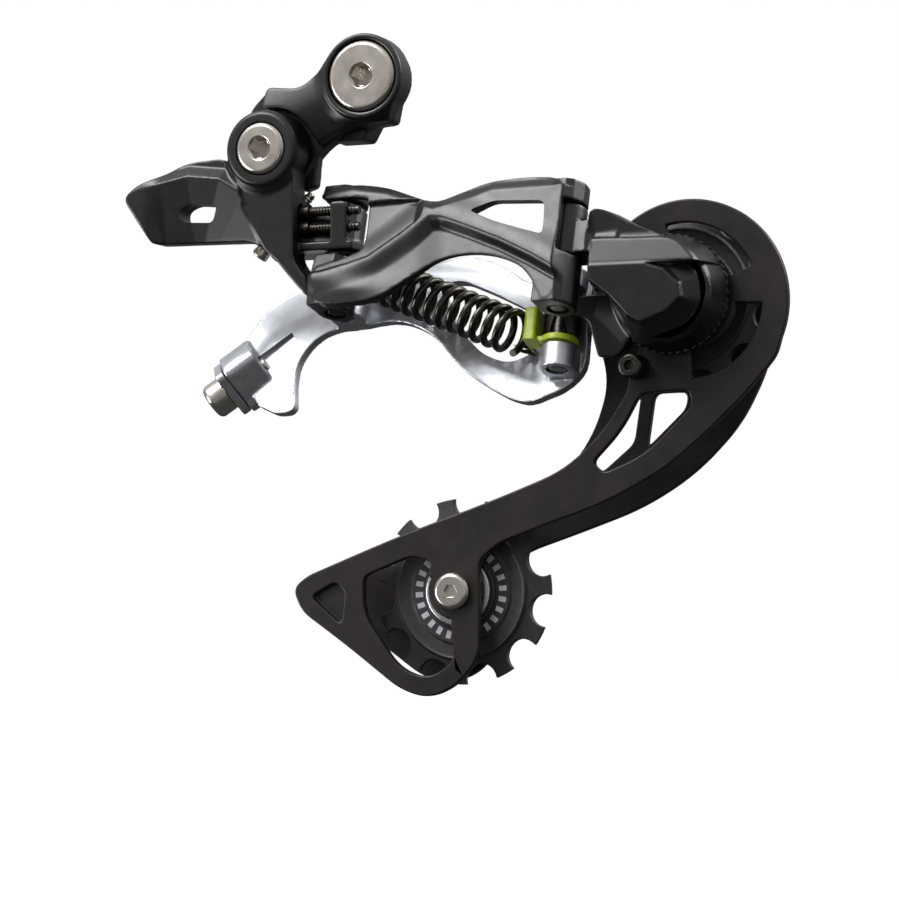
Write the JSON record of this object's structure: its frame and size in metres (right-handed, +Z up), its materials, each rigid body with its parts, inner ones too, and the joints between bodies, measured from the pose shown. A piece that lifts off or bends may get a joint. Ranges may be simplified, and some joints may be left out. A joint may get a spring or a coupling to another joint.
{
  "type": "rear bicycle derailleur",
  "caption": "Low-profile rear derailleur with a long cage: a sprung parallelogram carries a sprung chain cage with a guide pulley and a tension pulley.",
  "frame": {"origin": "on the hanger bolt's axis, in the plane where the link meets the frame's hanger", "axes": "+X to the front of the bicycle, +Y inboard to the wheel along the hanger bolt, +Z up"},
  "size_m": [0.1719, 0.0437, 0.1663],
  "materials": {
    "black_aluminium": "satin black over forged aluminium",
    "plate_aluminium": "black anodised sheet, satin",
    "silver_aluminium": "satin forged",
    "steel": "bright plated",
    "dark_steel": "dark oiled",
    "resin": "moulded, glass filled",
    "green_resin": "moulded",
    "bronze": "sintered bronze",
    "rubber": "matt"
  },
  "bodies": {
    "hanger": {"hanger_bolt": "steel"},
    "link": {"hanger_circlip": "steel", "hanger_bush": "bronze", "hanger_link": "black_aluminium", "body_pivot_bolt": "steel", "body_pivot_nut": "dark_steel", "body_pivot_washer": "bronze"},
    "body": {"base_body": "black_aluminium"},
    "high_screw": {"high_limit_screw": "steel"},
    "low_screw": {"low_limit_screw": "steel"},
    "b_screw": {"b_tension_screw": "steel"},
    "outer_link": {"outer_link": "black_aluminium", "outer_rear_pin": "dark_steel", "outer_front_pin": "dark_steel"},
    "inner_link": {"inner_link": "silver_aluminium", "inner_rear_pin": "dark_steel", "inner_front_pin": "dark_steel", "return_spring": "dark_steel", "spring_guide": "green_resin"},
    "cable_clamp": {"cable_clamp_plate": "silver_aluminium", "cable_clamp_bolt": "steel"},
    "knuckle": {"knuckle": "black_aluminium", "cage_axle_bush": "bronze", "cage_spring": "dark_steel"},
    "cage": {"cage_axle": "dark_steel", "cage_seal": "rubber", "cage_stop_screw": "dark_steel", "cage_outer_plate": "plate_aluminium", "cage_inner_plate": "plate_aluminium", "guide_bolt_sleeve": "steel", "guide_cap_outer": "silver_aluminium", "guide_cap_inner": "silver_aluminium", "guide_pulley_bolt": "steel", "tension_bolt_sleeve": "steel", "tension_cap_outer": "silver_aluminium", "tension_cap_inner": "silver_aluminium", "tension_pulley_bolt": "steel"},
    "guide_float": {"guide_pulley_bush": "bronze"},
    "guide_pulley": {"guide_pulley": "resin"},
    "tension_pulley": {"tension_pulley": "resin", "tension_pulley_bush": "bronze"}
  },
  "joints": [
    {"name": "hanger_swing", "type": "hinge", "parent": "hanger", "child": "link", "pos_m": [0, 0, 0], "axis": [0, 1, 0], "range_deg": [0, 40]},
    {"name": "body_swing", "type": "hinge", "parent": "link", "child": "body", "pos_m": [-0.026, -0.0143, -0.0175], "axis": [0, 1, 0], "range_deg": [0, 20]},
    {"name": "high_limit", "type": "slide", "parent": "body", "child": "high_screw", "axis": [1, 0, 0], "range_m": [-0.0015, 0.0015]},
    {"name": "low_limit", "type": "slide", "parent": "body", "child": "low_screw", "axis": [1, 0, 0], "range_m": [-0.0015, 0.0015]},
    {"name": "b_tension", "type": "slide", "parent": "body", "child": "b_screw", "axis": [-0.6808, -0.0501, -0.7308], "range_m": [0, 0.003]},
    {"name": "shift", "type": "hinge", "parent": "body", "child": "outer_link", "pos_m": [-0.008, -0.002, -0.042], "axis": [0, 0.309, 0.9511], "range_deg": [0, 36], "stiffness_Nm_per_rad": 0.35, "springref_deg": -34.38},
    {"name": "inner_swing", "type": "hinge", "parent": "body", "child": "inner_link", "pos_m": [-0.012, 0.01131, -0.04633], "axis": [0, 0.309, 0.9511], "range_deg": [0, 36]},
    {"name": "knuckle_swing", "type": "hinge", "parent": "outer_link", "child": "knuckle", "pos_m": [0.05376, -0.00714, -0.04033], "axis": [0, 0.309, 0.9511], "range_deg": [-36, 0]},
    {"name": "clamp", "type": "slide", "parent": "inner_link", "child": "cable_clamp", "axis": [-0.8007, -0.1756, -0.5727], "range_m": [0, 0.002]},
    {"name": "cage_swing", "type": "hinge", "parent": "knuckle", "child": "cage", "pos_m": [0.0785, 0, -0.0572], "axis": [0, -1, 0], "range_deg": [0, 95], "stiffness_Nm_per_rad": 0.18, "springref_deg": -85.94},
    {"name": "guide_side_float", "type": "slide", "parent": "cage", "child": "guide_float", "axis": [0, 1, 0], "range_m": [-0.0003, 0.0003]},
    {"name": "guide_spin", "type": "hinge", "parent": "guide_float", "child": "guide_pulley", "pos_m": [0.0785, 0.0089, -0.0572], "axis": [0, 1, 0], "continuous": true},
    {"name": "tension_spin", "type": "hinge", "parent": "cage", "child": "tension_pulley", "pos_m": [0.0203, 0.0089, -0.1292], "axis": [0, 1, 0], "continuous": true}
  ],
  "couplings": [
    {"joint": "inner_swing", "follows": "shift", "ratio": 1},
    {"joint": "knuckle_swing", "follows": "shift", "ratio": -1}
  ]
}
